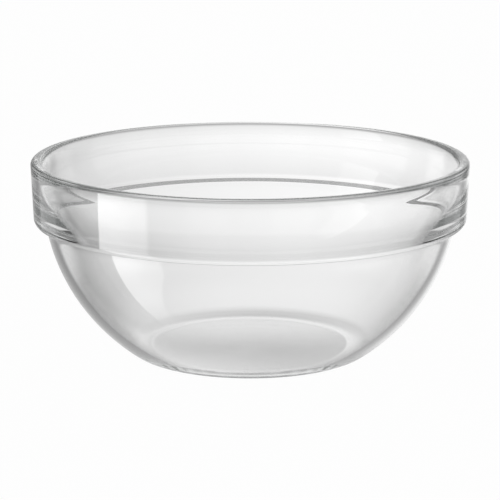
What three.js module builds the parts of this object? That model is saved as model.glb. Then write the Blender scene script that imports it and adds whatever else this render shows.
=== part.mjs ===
// Stacking bowl of clear pressed glass, in mm. The axis is Z and the base stands on z = 0.
// The whole bowl is one solid of revolution, so the part is one profile turned about the axis.

import * as THREE from "three";

// Outside
const RIM_DIAMETER = 280; // over the widest place of the rim
const HEIGHT = 127.4; // base to rim
const BAND_HEIGHT = 40.5; // stacking shoulder to rim
const BAND_TAPER = 1.6; // how far the band's foot is set in from the rim, on the radius
const SHOULDER_STEP = 7.4; // band's foot to neck, on the radius
const SHOULDER_ROUND = 4; // edge between the band and the shoulder
const NECK_ROUND = 1; // corner between the shoulder and the wall
const WALL_CURVE = 126.8; // radius of the wall's outward curve
const FOOT_ROUND = 20; // turn from the wall into the base
const FOOT_RADIUS = 66.2; // where that turn meets the ground
const RECESS_RADIUS = 62.5; // domed hollow under the base, which leaves a bearing ring round it
const RECESS_DEPTH = 0.5; // of the dome at the axis

// Rim
const LIP_OUTER_ROUND = 2.8;
const LIP_INNER_ROUND = 3.2;
const MOUTH_FLARE = 25; // radius of the slight flare between the lip and the mouth
const MOUTH_DEPTH = 9.8; // rim to the place where the inside stands upright
const MOUTH_WALL = 8.6; // glass at that place, measured to the rim's widest radius

// Inside
const WALL = 5; // glass of the curved wall
const FLOOR = 5.5; // inner floor above the ground
const FLOOR_ROUND = 24; // turn from the inner wall into the floor
const SWEEP_FOOT = 5; // how far below the shoulder the inner wall starts to follow the outer one
const SWEEP_UPPER_PULL = 18; // length of upright guide at the mouth end of the sweep
const SWEEP_LOWER_PULL = 10; // length of guide along the wall at the other end

const TURN_STEPS = 96; // facets round the axis

const point = (radius, height) => new THREE.Vector2(radius, height);
const bearing = (from, to) => Math.atan2(to.y - from.y, to.x - from.x);
const onCircle = (centre, radius, angle) =>
  point(centre.x + radius * Math.cos(angle), centre.y + radius * Math.sin(angle));

// Points along an arc, both ends included.
function arc(centre, radius, start, end, steps) {
  const points = [];
  for (let i = 0; i <= steps; i += 1) {
    points.push(onCircle(centre, radius, start + ((end - start) * i) / steps));
  }
  return points;
}

// The upper of the two points at distance p from P and q from Q.
function upperMeeting(P, p, Q, q) {
  const span = P.distanceTo(Q);
  const along = (span * span + p * p - q * q) / (2 * span);
  const aside = Math.sqrt(p * p - along * along);
  const way = bearing(P, Q);
  const foot = onCircle(P, along, way);
  const side = Math.cos(way) > 0 ? Math.PI / 2 : -Math.PI / 2;
  return onCircle(foot, aside, way + side);
}

// Centre of a circle of the given reach about a hub, at a set height and outside the hub's own radius.
const outFrom = (hub, reach, height) => point(hub.x + Math.sqrt(reach ** 2 - (height - hub.y) ** 2), height);

const rimRadius = RIM_DIAMETER / 2;
const shoulderHeight = HEIGHT - BAND_HEIGHT;
const bandFoot = point(rimRadius - BAND_TAPER, shoulderHeight);
const neckCorner = point(bandFoot.x - SHOULDER_STEP, shoulderHeight);

// The outer wall runs from the neck corner to the foot's turn and is tangent to that turn.
const footTurn = point(FOOT_RADIUS, FOOT_ROUND);
const wallHub = upperMeeting(neckCorner, WALL_CURVE, footTurn, WALL_CURVE - FOOT_ROUND);

function underside() {
  const domeCurve = (RECESS_RADIUS ** 2 + RECESS_DEPTH ** 2) / (2 * RECESS_DEPTH);
  const domeHub = point(0, RECESS_DEPTH - domeCurve);
  const domeEdge = Math.acos(RECESS_RADIUS / domeCurve);
  return [
    point(0, RECESS_DEPTH),
    ...arc(domeHub, domeCurve, Math.PI / 2, domeEdge, 6).slice(1),
  ];
}

function outerWall() {
  const neckTurn = outFrom(wallHub, WALL_CURVE + NECK_ROUND, shoulderHeight - NECK_ROUND);
  const wallStart = bearing(wallHub, footTurn);
  const wallEnd = bearing(wallHub, neckTurn);
  return [
    ...arc(footTurn, FOOT_ROUND, -Math.PI / 2, wallStart, 4),
    ...arc(wallHub, WALL_CURVE, wallStart, wallEnd, 8).slice(1),
    ...arc(neckTurn, NECK_ROUND, wallEnd + Math.PI, Math.PI / 2, 2).slice(1),
  ];
}

// The band leans outward from the rounded edge of the shoulder to the widest place of the rim.
function band() {
  const lipTurn = point(rimRadius - LIP_OUTER_ROUND, HEIGHT - LIP_OUTER_ROUND);
  const lean = Math.atan2(BAND_TAPER, lipTurn.y - shoulderHeight);
  const setIn = SHOULDER_ROUND * Math.tan((Math.PI / 2 - lean) / 2);
  const edgeTurn = point(bandFoot.x - setIn, shoulderHeight + SHOULDER_ROUND);
  return [
    ...arc(edgeTurn, SHOULDER_ROUND, -Math.PI / 2, -lean, 4),
    ...arc(lipTurn, LIP_OUTER_ROUND, 0, Math.PI / 2, 4),
  ];
}

// Over the lip, down the flare to the mouth, along the sweep past the shoulder and down to the floor.
function inside() {
  const mouth = point(rimRadius - MOUTH_WALL, HEIGHT - MOUTH_DEPTH);
  const flareTurn = point(mouth.x + MOUTH_FLARE, mouth.y);
  const lipHeight = HEIGHT - LIP_INNER_ROUND;
  const lean = Math.asin((lipHeight - mouth.y) / (MOUTH_FLARE - LIP_INNER_ROUND));
  const lipTurn = onCircle(flareTurn, MOUTH_FLARE - LIP_INNER_ROUND, Math.PI - lean);

  const innerCurve = WALL_CURVE - WALL;
  const floorTurn = outFrom(wallHub, innerCurve - FLOOR_ROUND, FLOOR + FLOOR_ROUND);
  const wallEnd = bearing(wallHub, floorTurn);
  const sweepFoot = outFrom(wallHub, innerCurve, shoulderHeight - SWEEP_FOOT);
  const wallStart = bearing(wallHub, sweepFoot);
  const sweep = new THREE.CubicBezierCurve(
    mouth,
    point(mouth.x, mouth.y - SWEEP_UPPER_PULL),
    onCircle(sweepFoot, SWEEP_LOWER_PULL, wallStart + Math.PI / 2),
    sweepFoot,
  );
  return [
    ...arc(lipTurn, LIP_INNER_ROUND, Math.PI / 2, Math.PI - lean, 4),
    ...arc(flareTurn, MOUTH_FLARE, Math.PI - lean, Math.PI, 2).slice(1),
    ...sweep.getPoints(6).slice(1),
    ...arc(wallHub, innerCurve, wallStart, wallEnd, 6).slice(1),
    ...arc(floorTurn, FLOOR_ROUND, wallEnd, -Math.PI / 2, 4).slice(1),
    point(0, FLOOR),
  ];
}

const profile = [...underside(), ...outerWall(), ...band(), ...inside()];
const geometry = new THREE.LatheGeometry(profile, TURN_STEPS);
geometry.rotateX(Math.PI / 2);

const glass = new THREE.MeshStandardMaterial({
  name: "clear_glass",
  color: 0xeef3f2,
  roughness: 0.03,
  metalness: 0,
});

const bowl = new THREE.Mesh(geometry, glass);
bowl.name = "glass_bowl";

const part = new THREE.Group();
part.name = "stacking_bowl";
part.add(bowl);

export default part;
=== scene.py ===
"""Clear pressed-glass stacking bowl, standing on a pale floor in soft studio light."""

import logging
import math
from dataclasses import dataclass, field
from enum import Enum
from typing import Any, Union

import bpy
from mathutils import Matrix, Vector


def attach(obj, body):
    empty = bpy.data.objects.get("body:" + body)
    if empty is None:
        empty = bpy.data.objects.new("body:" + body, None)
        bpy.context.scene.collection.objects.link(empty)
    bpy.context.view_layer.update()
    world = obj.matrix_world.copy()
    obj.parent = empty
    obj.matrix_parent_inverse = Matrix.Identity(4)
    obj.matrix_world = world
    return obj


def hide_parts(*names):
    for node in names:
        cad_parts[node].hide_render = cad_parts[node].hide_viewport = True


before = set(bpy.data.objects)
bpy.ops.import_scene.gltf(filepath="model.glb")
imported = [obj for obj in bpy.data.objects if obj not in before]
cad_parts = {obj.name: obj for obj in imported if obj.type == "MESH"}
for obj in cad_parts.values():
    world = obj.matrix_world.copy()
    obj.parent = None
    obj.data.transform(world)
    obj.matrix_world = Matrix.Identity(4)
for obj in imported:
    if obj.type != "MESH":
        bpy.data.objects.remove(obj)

LOG = logging.getLogger("stacking_bowl")
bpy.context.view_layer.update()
LIGHT_BOUNCES = 64

Number = Union[int, float]
Point = tuple[float, float]
Span = tuple[float, float]
Triple = tuple[float, float, float]


class Ray(Enum):
    """Kinds of light ray that a surface of the studio can tell apart."""

    CAMERA = "Is Camera Ray"
    GLOSSY = "Is Glossy Ray"
    TRANSMISSION = "Is Transmission Ray"


class Tone:
    """One value in a node tree, so that shader maths can be written as expressions."""

    def __init__(self, sheet: "NodeSheet", socket: bpy.types.NodeSocket) -> None:
        """Wrap a socket.

        Args:
            sheet: The node tree's helper, which adds the Math nodes.
            socket: The output socket that holds the value.
        """
        self.sheet = sheet
        self.socket = socket

    def _math(self, operation: str, first: Any, second: Any) -> "Tone":
        """Add one Math node.

        Args:
            operation: Blender's name of the operation.
            first: Its first value, a Tone or a number.
            second: Its second value, a Tone or a number.

        Returns:
            The result.
        """
        node = self.sheet.add("ShaderNodeMath", {"operation": operation}, {0: first, 1: second})
        return Tone(self.sheet, node.outputs[0])

    def __add__(self, other: Any) -> "Tone":
        """Add a value."""
        return self._math("ADD", self, other)

    def __radd__(self, other: Any) -> "Tone":
        """Add to a value."""
        return self._math("ADD", other, self)

    def __sub__(self, other: Any) -> "Tone":
        """Take a value away."""
        return self._math("SUBTRACT", self, other)

    def __rsub__(self, other: Any) -> "Tone":
        """Take from a value."""
        return self._math("SUBTRACT", other, self)

    def __mul__(self, other: Any) -> "Tone":
        """Multiply by a value."""
        return self._math("MULTIPLY", self, other)

    def __rmul__(self, other: Any) -> "Tone":
        """Multiply a value."""
        return self._math("MULTIPLY", other, self)

    def __abs__(self) -> "Tone":
        """Size of the value without its sign."""
        return self._math("ABSOLUTE", self, 0.0)

    def bearing_from(self, ahead: "Tone") -> "Tone":
        """Bearing, in degrees, of a direction with this part to the right and the other ahead."""
        return self._math("ARCTAN2", self, ahead) * math.degrees(1)

    def rise(self) -> "Tone":
        """Angle above the horizon, in degrees, of a direction that rises by this."""
        return self._math("ARCSINE", self, 0.0) * math.degrees(1)

    def towards(self, other: Any, share: Any) -> "Tone":
        """Mix with another value by a share from nought to one."""
        return self * (1 - share) + other * share

    def from_nearest(self, step: Number) -> "Tone":
        """Distance from the nearest multiple of a step."""
        return self._math("PINGPONG", self, step / 2)

    def most(self, other: Any) -> "Tone":
        """The larger of two values."""
        return self._math("MAXIMUM", self, other)

    def ramp(self, low: Number, high: Number, at_low: Number = 0.0, at_high: Number = 1.0) -> "Tone":
        """Ease from one level to another as the value rises.

        Args:
            low: Value where the change starts.
            high: Value where it ends.
            at_low: Level up to the start.
            at_high: Level from the end on.

        Returns:
            The eased level.
        """
        node = self.sheet.add(
            "ShaderNodeMapRange",
            {"interpolation_type": "SMOOTHSTEP"},
            {"Value": self, "From Min": low, "From Max": high, "To Min": at_low, "To Max": at_high},
        )
        return Tone(self.sheet, node.outputs["Result"])


class NodeSheet:
    """A node tree that is filled from code."""

    def __init__(self, tree: bpy.types.NodeTree) -> None:
        """Start with an empty tree.

        Args:
            tree: The material's or world's node tree.
        """
        tree.nodes.clear()
        self.tree = tree

    def add(
        self,
        kind: str,
        settings: dict[str, Any] | None = None,
        inputs: dict[Any, Any] | None = None,
    ) -> bpy.types.Node:
        """Add one node.

        Args:
            kind: Blender's type name of the node.
            settings: Its properties, which are set first.
            inputs: Value or link of each socket that isn't left alone, by the socket's name or number.

        Returns:
            The new node.
        """
        node = self.tree.nodes.new(kind)
        for name, value in (settings or {}).items():
            setattr(node, name, value)
        for name, value in (inputs or {}).items():
            socket = value.socket if isinstance(value, Tone) else value
            if isinstance(socket, bpy.types.NodeSocket):
                self.tree.links.new(socket, node.inputs[name])
            else:
                node.inputs[name].default_value = socket
        return node

    def tone(self, node: bpy.types.Node, output: Any = 0) -> Tone:
        """Wrap one output of a node."""
        return Tone(self, node.outputs[output])

    def seen_by(self, ray: Ray) -> Tone:
        """One for light that comes by this kind of ray and zero for the rest."""
        return self.tone(self.add("ShaderNodeLightPath"), ray.value)


@dataclass(frozen=True)
class ClearGlass:
    """Colourless pressed glass, polished by fire, with the faint waves that pressing leaves."""

    name: str = "clear_glass"
    tint: Triple = (1.0, 1.0, 1.0)
    ior: float = 1.5
    polish: float = 0.008
    smear: float = 0.03
    smear_span: Span = (0.45, 0.75)
    smear_scale: float = 28.0
    smear_detail: float = 4.0
    smear_grain: float = 0.6
    smear_swirl: float = 0.8
    wave_size: float = 0.035
    wave_detail: float = 1.0
    wave_grain: float = 0.4
    wave_height: float = 0.00003
    absorption_tint: Triple = (0.94, 0.943, 0.942)
    absorption: float = 28.0

    def material(self) -> bpy.types.Material:
        """Make the finish.

        Returns:
            The material.
        """
        made = bpy.data.materials.new(self.name)
        made.use_nodes = True
        sheet = NodeSheet(made.node_tree)
        place = sheet.add("ShaderNodeTexCoord").outputs["Object"]
        waves = sheet.add(
            "ShaderNodeTexNoise",
            {"noise_dimensions": "3D"},
            {
                "Vector": place,
                "Scale": 1 / self.wave_size,
                "Detail": self.wave_detail,
                "Roughness": self.wave_grain,
            },
        )
        relief = sheet.add(
            "ShaderNodeBump",
            {},
            {"Strength": 1.0, "Distance": self.wave_height, "Height": waves.outputs["Fac"]},
        )
        wiping = sheet.add(
            "ShaderNodeTexNoise",
            {"noise_dimensions": "3D"},
            {
                "Vector": place,
                "Scale": self.smear_scale,
                "Detail": self.smear_detail,
                "Roughness": self.smear_grain,
                "Distortion": self.smear_swirl,
            },
        )
        smears = sheet.tone(wiping, "Fac").ramp(*self.smear_span, self.polish, self.smear)
        body = sheet.add(
            "ShaderNodeBsdfPrincipled",
            {},
            {
                "Base Color": (*self.tint, 1.0),
                "Roughness": smears,
                "IOR": self.ior,
                "Transmission Weight": 1.0,
                "Normal": relief.outputs["Normal"],
            },
        )
        depth = sheet.add(
            "ShaderNodeVolumeAbsorption",
            {},
            {"Color": (*self.absorption_tint, 1.0), "Density": self.absorption},
        )
        sheet.add(
            "ShaderNodeOutputMaterial",
            {},
            {"Surface": body.outputs["BSDF"], "Volume": depth.outputs["Volume"]},
        )
        return made


@dataclass(frozen=True)
class PaleFloor:
    """Matt white floor, which keeps shadows, with a painted shade under the base: a grey glow that only
    rays through the glass see.
    """

    name: str = "studio_floor_white"
    colour: Triple = (0.9, 0.9, 0.9)
    white_seen: float = 0.98
    # Painted shade under the base, seen only through the glass: its darkest and lightest grey, its centre,
    # its stretch, the distances it spans and the edge of the disc it covers.
    painted_shade_dark: float = 0.37
    painted_shade_light: float = 0.74
    painted_shade_spot: Triple = (0.003, -0.014, 0.0)
    painted_shade_stretch: Triple = (0.4, 1.0, 1.0)
    painted_shade_span: Span = (0.0, 0.066)
    painted_shade_inner: float = 0.0622
    painted_shade_outer: float = 0.0644

    def material(self) -> bpy.types.Material:
        """Make the finish.

        Returns:
            The material.
        """
        made = bpy.data.materials.new(self.name)
        made.use_nodes = True
        sheet = NodeSheet(made.node_tree)
        matt = sheet.add("ShaderNodeBsdfDiffuse", {}, {"Color": (*self.colour, 1.0)})
        white = sheet.add("ShaderNodeEmission", {}, {"Strength": 1.0})
        shown = sheet.add(
            "ShaderNodeMixShader",
            {},
            {
                0: sheet.seen_by(Ray.CAMERA) * self.white_seen,
                1: matt.outputs["BSDF"],
                2: white.outputs["Emission"],
            },
        )
        # Painted shade: rays through the glass see a grey glow under the base in place of the bowl's
        # shadow. It is darkest round a spot just off the middle, drawn out sideways, and lighter outwards.
        # Beyond the base these rays pass through the floor.
        place = sheet.add("ShaderNodeTexCoord").outputs["Object"]
        reach = sheet.add("ShaderNodeVectorMath", {"operation": "LENGTH"}, {0: place})
        painted_shade_area = sheet.tone(reach, "Value").ramp(self.painted_shade_inner, self.painted_shade_outer, 1.0, 0.0)
        long = sheet.add(
            "ShaderNodeVectorMath", {"operation": "MULTIPLY"}, {0: place, 1: self.painted_shade_stretch}
        )
        off = sheet.add(
            "ShaderNodeVectorMath",
            {"operation": "DISTANCE"},
            {0: long.outputs["Vector"], 1: self.painted_shade_spot},
        )
        shade = sheet.tone(off, "Value").ramp(*self.painted_shade_span, self.painted_shade_dark, self.painted_shade_light)
        painted_shade_glow = sheet.add("ShaderNodeEmission", {}, {"Color": shade, "Strength": 1.0})
        clear = sheet.add("ShaderNodeBsdfTransparent")
        under = sheet.add(
            "ShaderNodeMixShader",
            {},
            {0: painted_shade_area, 1: clear.outputs["BSDF"], 2: painted_shade_glow.outputs["Emission"]},
        )
        through = sheet.add(
            "ShaderNodeMixShader",
            {},
            {0: sheet.seen_by(Ray.TRANSMISSION), 1: shown.outputs["Shader"], 2: under.outputs["Shader"]},
        )
        sheet.add("ShaderNodeOutputMaterial", {}, {"Surface": through.outputs["Shader"]})
        return made


class SectionPen:
    """Draws the section of a turned piece in edit mode, one extrusion or spin after another."""

    SEED_SIZE = 0.01
    SUPPORT = 0.0003
    WELD = 1e-6

    def __init__(self, start: Point) -> None:
        """Set the pen down.

        Args:
            start: Radius and height of the first point, in metres.
        """
        bpy.ops.mesh.primitive_plane_add(size=self.SEED_SIZE)
        bpy.ops.object.mode_set(mode="EDIT")
        bpy.ops.mesh.select_mode(type="VERT")
        bpy.ops.mesh.select_all(action="SELECT")
        bpy.ops.mesh.merge(type="CENTER")
        self.at: Point = (0.0, 0.0)
        bpy.ops.transform.translate(value=self._step_to(start))

    def _step_to(self, end: Point) -> Triple:
        """Move the pen's place and give the step that this takes.

        Args:
            end: Radius and height of the new place.

        Returns:
            The step in the bowl's frame.
        """
        step = (end[0] - self.at[0], 0.0, end[1] - self.at[1])
        self.at = end
        return step

    def to(self, end: Point) -> None:
        """Extrude one straight edge."""
        bpy.ops.mesh.extrude_vertices_move(TRANSFORM_OT_translate={"value": self._step_to(end)})

    def line(self, end: Point) -> None:
        """Extrude a straight stretch with a supporting edge close to both ends, which keeps it straight.

        Args:
            end: Radius and height of its far end.
        """
        run = Vector(end) - Vector(self.at)
        near = run.normalized() * self.SUPPORT
        start = Vector(self.at)
        self.to(tuple(start + near))
        self.to(tuple(Vector(end) - near))
        self.to(end)

    def arc(self, centre: Point, sweep: float, steps: int) -> None:
        """Spin a round stretch.

        Args:
            centre: Radius and height of its centre.
            sweep: Angle in radians, positive from outward to upward.
            steps: Number of edges.
        """
        bpy.ops.mesh.spin(
            steps=steps,
            dupli=False,
            angle=sweep,
            use_auto_merge=False,
            center=(centre[0], 0.0, centre[1]),
            axis=(0.0, 1.0, 0.0),
        )
        reach = Vector(self.at) - Vector(centre)
        cosine, sine = math.cos(sweep), math.sin(sweep)
        self.at = (
            centre[0] + reach.x * cosine - reach.y * sine,
            centre[1] + reach.x * sine + reach.y * cosine,
        )

    def turn(self, steps: int) -> None:
        """Spin the whole section round the axis and close it.

        Args:
            steps: Facets round the axis.
        """
        bpy.ops.mesh.select_all(action="SELECT")
        bpy.ops.mesh.spin(
            steps=steps,
            dupli=False,
            angle=2 * math.pi,
            use_auto_merge=False,
            center=(0.0, 0.0, 0.0),
            axis=(0.0, 0.0, 1.0),
        )
        bpy.ops.mesh.select_all(action="SELECT")
        bpy.ops.mesh.remove_doubles(threshold=self.WELD)
        bpy.ops.mesh.normals_make_consistent(inside=False)
        bpy.ops.object.mode_set(mode="OBJECT")


def bearing(start: Point, end: Point) -> float:
    """Angle of the way from one point of the section to another, in radians."""
    return math.atan2(end[1] - start[1], end[0] - start[0])


def on_circle(centre: Point, radius: float, angle: float) -> Point:
    """Point of a circle in the section."""
    return (centre[0] + radius * math.cos(angle), centre[1] + radius * math.sin(angle))


@dataclass
class GlassBowl:
    """The bowl, one solid of glass turned about the axis, with sizes in metres."""

    finish: ClearGlass = field(default_factory=ClearGlass)
    rim_radius: float = 0.140
    height: float = 0.1274
    band_height: float = 0.0405
    band_taper: float = 0.0016
    shoulder_step: float = 0.0074
    shoulder_round: float = 0.004
    neck_round: float = 0.001
    wall_curve: float = 0.1268
    foot_round: float = 0.020
    foot_radius: float = 0.0662
    recess_radius: float = 0.0625
    recess_depth: float = 0.0005
    lip_outer_round: float = 0.0028
    lip_inner_round: float = 0.0032
    mouth_flare: float = 0.025
    mouth_depth: float = 0.0098
    mouth_wall: float = 0.0086
    wall: float = 0.005
    floor: float = 0.0055
    floor_round: float = 0.024
    sweep_foot: float = 0.005
    sweep_upper_pull: float = 0.018
    sweep_lower_pull: float = 0.010
    facets: int = 240
    dome_steps: int = 64
    foot_steps: int = 24
    wall_steps: int = 64
    neck_steps: int = 8
    shoulder_steps: int = 20
    lip_steps: int = 16
    flare_steps: int = 10
    sweep_steps: int = 32
    inner_wall_steps: int = 52
    floor_steps: int = 24
    smooth_below: float = math.radians(25)

    def __post_init__(self) -> None:
        """Work out the places that the sizes above lead to."""
        self.shoulder_height = self.height - self.band_height
        self.band_foot = self.rim_radius - self.band_taper
        self.foot_turn: Point = (self.foot_radius, self.foot_round)
        neck: Point = (self.band_foot - self.shoulder_step, self.shoulder_height)
        self.hub = self._upper_meeting(neck, self.wall_curve, self.wall_curve - self.foot_round)
        self.mouth: Point = (self.rim_radius - self.mouth_wall, self.height - self.mouth_depth)

    def _upper_meeting(self, start: Point, reach: float, foot_reach: float) -> Point:
        """Find the wall's centre, the upper of the two points with set distances from neck and foot.

        Args:
            start: The neck's corner.
            reach: Distance from it.
            foot_reach: Distance from the foot's centre.

        Returns:
            Radius and height of the centre.
        """
        span = math.dist(start, self.foot_turn)
        along = (span**2 + reach**2 - foot_reach**2) / (2 * span)
        aside = math.sqrt(reach**2 - along**2)
        way = bearing(start, self.foot_turn)
        side = math.pi / 2 if math.cos(way) > 0 else -math.pi / 2
        return on_circle(on_circle(start, along, way), aside, way + side)

    def _out_from_hub(self, reach: float, height: float) -> Point:
        """Point at a set height and a set distance from the wall's centre."""
        return (self.hub[0] + math.sqrt(reach**2 - (height - self.hub[1]) ** 2), height)

    def _draw_outside(self, pen: SectionPen) -> None:
        """Draw underside, foot, wall, neck, shoulder and band.

        Args:
            pen: The pen, set down on the axis.
        """
        dome = (self.recess_radius**2 + self.recess_depth**2) / (2 * self.recess_depth)
        dome_sweep = -math.asin(self.recess_radius / dome)
        pen.arc((0.0, self.recess_depth - dome), dome_sweep, self.dome_steps)
        pen.line((self.foot_radius, 0.0))
        wall_start = bearing(self.hub, self.foot_turn)
        pen.arc(self.foot_turn, wall_start + math.pi / 2, self.foot_steps)
        neck_height = self.shoulder_height - self.neck_round
        neck_turn = self._out_from_hub(self.wall_curve + self.neck_round, neck_height)
        wall_end = bearing(self.hub, neck_turn)
        pen.arc(self.hub, wall_end - wall_start, self.wall_steps)
        pen.arc(neck_turn, -(wall_end + math.pi / 2), self.neck_steps)
        lip_height = self.height - self.lip_outer_round
        lean = math.atan2(self.band_taper, lip_height - self.shoulder_height)
        set_in = self.shoulder_round * math.tan((math.pi / 2 - lean) / 2)
        edge_turn: Point = (self.band_foot - set_in, self.shoulder_height + self.shoulder_round)
        pen.line((edge_turn[0], self.shoulder_height))
        pen.arc(edge_turn, math.pi / 2 - lean, self.shoulder_steps)
        pen.line((self.rim_radius, lip_height))

    def _draw_inside(self, pen: SectionPen) -> None:
        """Draw lip, flare, sweep, inner wall and inner floor.

        Args:
            pen: The pen, at the widest place of the rim.
        """
        outer_turn: Point = (self.rim_radius - self.lip_outer_round, self.height - self.lip_outer_round)
        pen.arc(outer_turn, math.pi / 2, self.lip_steps)
        flare_turn: Point = (self.mouth[0] + self.mouth_flare, self.mouth[1])
        flare_reach = self.mouth_flare - self.lip_inner_round
        lean = math.asin((self.height - self.lip_inner_round - self.mouth[1]) / flare_reach)
        lip_turn = on_circle(flare_turn, flare_reach, math.pi - lean)
        pen.line((lip_turn[0], self.height))
        pen.arc(lip_turn, math.pi / 2 - lean, self.lip_steps)
        pen.arc(flare_turn, lean, self.flare_steps)
        inner_curve = self.wall_curve - self.wall
        foot = self._out_from_hub(inner_curve, self.shoulder_height - self.sweep_foot)
        wall_start = bearing(self.hub, foot)
        guide = on_circle(foot, self.sweep_lower_pull, wall_start + math.pi / 2)
        upper = (self.mouth[0], self.mouth[1] - self.sweep_upper_pull)
        for place in self._sweep(self.mouth, upper, guide, foot, self.sweep_steps):
            pen.to(place)
        floor_turn = self._out_from_hub(inner_curve - self.floor_round, self.floor + self.floor_round)
        wall_end = bearing(self.hub, floor_turn)
        pen.arc(self.hub, wall_end - wall_start, self.inner_wall_steps)
        pen.arc(floor_turn, -(wall_end + math.pi / 2), self.floor_steps)
        pen.line((0.0, self.floor))

    @staticmethod
    def _sweep(start: Point, pull: Point, guide: Point, end: Point, steps: int) -> list[Point]:
        """Work out the smooth curve between the mouth and the curved wall.

        Args:
            start: Its first point.
            pull: Guide point of the first end.
            guide: Guide point of the second end.
            end: Its last point.
            steps: Number of edges.

        Returns:
            Its points after the first one.
        """
        places = []
        for i in range(1, steps + 1):
            t = i / steps
            shares = ((1 - t) ** 3, 3 * t * (1 - t) ** 2, 3 * t**2 * (1 - t), t**3)
            corners = (start, pull, guide, end)
            places.append(tuple(sum(s * c[k] for s, c in zip(shares, corners)) for k in range(2)))
        return places

    def build(self) -> bpy.types.Object:
        """Model the bowl, dress it and set it on its CAD body.

        Returns:
            The bowl's object.
        """
        bpy.ops.object.select_all(action="DESELECT")
        pen = SectionPen((0.0, self.recess_depth))
        self._draw_outside(pen)
        self._draw_inside(pen)
        pen.turn(self.facets)
        bowl = bpy.context.object
        bowl.name = "glass_bowl_clear"
        bowl.data.name = bowl.name
        bpy.ops.object.shade_smooth_by_angle(angle=self.smooth_below)
        bowl.data.materials.clear()
        bowl.data.materials.append(self.finish.material())
        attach(bowl, "root")
        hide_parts("glass_bowl")
        return bowl


@dataclass
class Studio:
    """White floor and surroundings, a soft light box and the camera.

    Levels are shares of white. Spans are in degrees, round the bowl from straight behind it to the right or
    above the horizon, apart from ground_turn, which is the sideways part of the direction.
    """

    floor_finish: PaleFloor = field(default_factory=PaleFloor)
    floor_size: float = 12.0
    backdrop_level: float = 1.02
    backdrop_left: Span = (-18.5, 3.4)
    backdrop_right: Span = (14.0, 26.0)
    backdrop_low: Span = (-42.0, -8.0)
    backdrop_high: Span = (14.0, 24.0)
    around_level: float = 0.39
    left_level: float = 0.1
    left_span: Span = (-50.0, -14.0)
    right_level: float = 0.32
    right_span: Span = (20.0, 45.0)
    front_level: float = 1.0
    front_low: float = 0.22
    front_low_span: Span = (-38.0, -30.0)
    front_high: float = 0.42
    front_high_span: Span = (-8.0, 2.0)
    front_span: Span = (72.0, 108.0)
    panel_level: float = 0.8
    panel_step: float = 45.0
    panel_half: Span = (8.0, 15.0)
    panel_start: Span = (28.0, 36.0)
    panel_low: Span = (-31.0, -22.0)
    panel_high: Span = (-5.0, 3.0)
    top_level: float = 0.45
    top_span: Span = (20.0, 50.0)
    ground_left: float = 1.0
    ground_right: float = 0.65
    ground_turn: Span = (-0.25, 0.2)
    ground_span: Span = (-52.0, -38.0)
    ground_side: Span = (25.0, 60.0)
    ground_side_share: float = 0.6
    box_bright: float = 5.8
    box_dim: float = 2.0
    box_upper: float = 1.5
    box_upper_span: Span = (-8.0, 4.0)
    box_span: Span = (-55.0, -18.0)
    box_low: Span = (-64.0, -46.0)
    box_left: float = -127.0
    box_left_soft: float = 4.0
    box_right: float = -90.5
    box_right_soft: float = 1.0
    box_far: float = 0.42
    box_turn: Span = (-127.0, -96.0)
    box_lean: float = 0.2
    box_lean_from: float = -30.0
    box_cut: float = -38.0
    box_slant: float = 1.15
    box_high: Span = (40.0, 48.0)
    camera_side: float = -0.000127
    camera_distance: float = 1.6
    camera_height: float = 0.41819
    camera_aim: float = 0.06684
    focal_pixels: float = 2544.06
    picture_pixels: float = 500.0
    sensor_width: float = 36.0
    clip_end: float = 100.0

    def lay_floor(self) -> bpy.types.Object:
        """Lay the floor under the bowl.

        Returns:
            The floor's object.
        """
        bpy.ops.object.select_all(action="DESELECT")
        bpy.ops.mesh.primitive_plane_add(size=self.floor_size, location=(0.0, 0.0, 0.0))
        floor = bpy.context.object
        floor.name = "studio_floor"
        floor.data.materials.append(self.floor_finish.material())
        floor.visible_glossy = False
        return floor

    def light(self) -> None:
        """Set up the surroundings as one soft world.

        It is white behind the bowl and darker to the sides, with pale panels all round, a pale ground and
        the light box at the front left.
        """
        world = bpy.data.worlds.new("studio_surroundings")
        bpy.context.scene.world = world
        world.use_nodes = True
        sheet = NodeSheet(world.node_tree)
        way = sheet.add("ShaderNodeTexCoord").outputs["Generated"]
        split = sheet.add("ShaderNodeSeparateXYZ", {}, {"Vector": way})
        x, y, z = (sheet.tone(split, axis) for axis in ("X", "Y", "Z"))
        round_angle = x.bearing_from(y)
        up_angle = z.rise()
        left = round_angle.ramp(*self.left_span, self.left_level, self.around_level)
        right = round_angle.ramp(*self.right_span, 0.0, self.right_level - self.around_level)
        front = up_angle.ramp(*self.front_low_span, self.front_low, self.front_level)
        front = front.towards(self.front_high, up_angle.ramp(*self.front_high_span))
        level = (left + right).towards(front, abs(round_angle).ramp(*self.front_span))
        panel = round_angle.from_nearest(self.panel_step).ramp(*self.panel_half, 1.0, 0.0)
        panel = panel * abs(round_angle).ramp(*self.panel_start)
        panel = panel * up_angle.ramp(*self.panel_low) * up_angle.ramp(*self.panel_high, 1.0, 0.0)
        level = level.towards(self.panel_level, panel)
        level = level.towards(self.top_level, up_angle.ramp(*self.top_span))
        ground = up_angle.ramp(*self.ground_span, 1.0, 0.0)
        ground = ground * abs(round_angle).ramp(*self.ground_side, 1.0, self.ground_side_share)
        level = level.towards(x.ramp(*self.ground_turn, self.ground_left, self.ground_right), ground)
        across = round_angle.ramp(*self.backdrop_left)
        across = across * round_angle.ramp(*self.backdrop_right, 1.0, 0.0)
        tall = up_angle.ramp(*self.backdrop_low) * up_angle.ramp(*self.backdrop_high, 1.0, 0.0)
        level = level.towards(self.backdrop_level, across * tall)
        level = level + self._light_box(sheet, round_angle, up_angle)
        seen = sheet.seen_by(Ray.CAMERA)
        shown = level * (1 - seen) + seen
        backdrop = sheet.add("ShaderNodeBackground", {}, {"Color": shown, "Strength": 1.0})
        sheet.add("ShaderNodeOutputWorld", {}, {"Surface": backdrop.outputs["Background"]})

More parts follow.
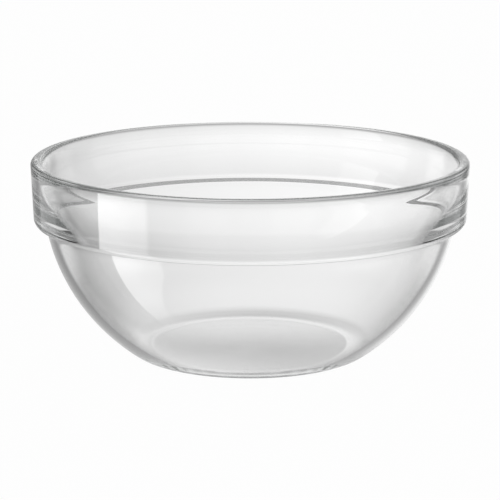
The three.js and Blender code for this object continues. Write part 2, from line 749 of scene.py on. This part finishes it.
    def _light_box(self, sheet: NodeSheet, round_angle: Tone, up_angle: Tone) -> Tone:
        """Add the glow of the soft light box at the front left, which the glass mirrors.

        Args:
            sheet: The world's node tree.
            round_angle: Direction round the bowl, in degrees from straight behind it to the right.
            up_angle: Direction above the horizon, in degrees.

        Returns:
            The level to add.
        """
        near_edge = self.box_right + (up_angle - self.box_lean_from) * -self.box_lean
        far_edge = self.box_left + (self.box_cut - up_angle).most(0.0) * self.box_slant
        inside_near = (near_edge - round_angle).ramp(0.0, self.box_right_soft)
        inside_far = (round_angle - far_edge).ramp(0.0, self.box_left_soft)
        below_top = up_angle.ramp(*self.box_high, 1.0, 0.0)
        glow = up_angle.ramp(*self.box_span, self.box_dim, self.box_bright)
        glow = glow.towards(self.box_upper, up_angle.ramp(*self.box_upper_span))
        glow = glow * up_angle.ramp(*self.box_low)
        glow = glow * round_angle.ramp(*self.box_turn, self.box_far, 1.0)
        mirrored = (sheet.seen_by(Ray.GLOSSY) - sheet.seen_by(Ray.TRANSMISSION)).most(0.0)
        return inside_near * inside_far * below_top * glow * mirrored

    def set_camera(self) -> bpy.types.Object:
        """Set the camera where the photograph was taken from.

        Returns:
            The camera's object.
        """
        fall = math.atan2(self.camera_height - self.camera_aim, self.camera_distance)
        bpy.ops.object.camera_add(
            location=(self.camera_side, -self.camera_distance, self.camera_height),
            rotation=(math.pi / 2 - fall, 0.0, 0.0),
        )
        camera = bpy.context.object
        camera.name = "photo_camera"
        camera.data.sensor_width = self.sensor_width
        camera.data.lens = self.focal_pixels / self.picture_pixels * self.sensor_width
        camera.data.clip_end = self.clip_end
        bpy.context.scene.camera = camera
        return camera


def main() -> None:
    """Build the bowl and the studio round it."""
    logging.basicConfig(level=logging.INFO, format="%(name)s: %(message)s")
    scene = bpy.context.scene
    scene.view_settings.view_transform = "Standard"
    scene.cycles.max_bounces = LIGHT_BOUNCES
    scene.cycles.glossy_bounces = LIGHT_BOUNCES
    scene.cycles.transmission_bounces = LIGHT_BOUNCES
    bowl = GlassBowl().build()
    LOG.info("%s: %d faces", bowl.name, len(bowl.data.polygons))
    studio = Studio()
    floor = studio.lay_floor()
    LOG.info("%s: laid", floor.name)
    studio.light()
    camera = studio.set_camera()
    LOG.info("%s: set", camera.name)


if __name__ == "__main__":
    main()
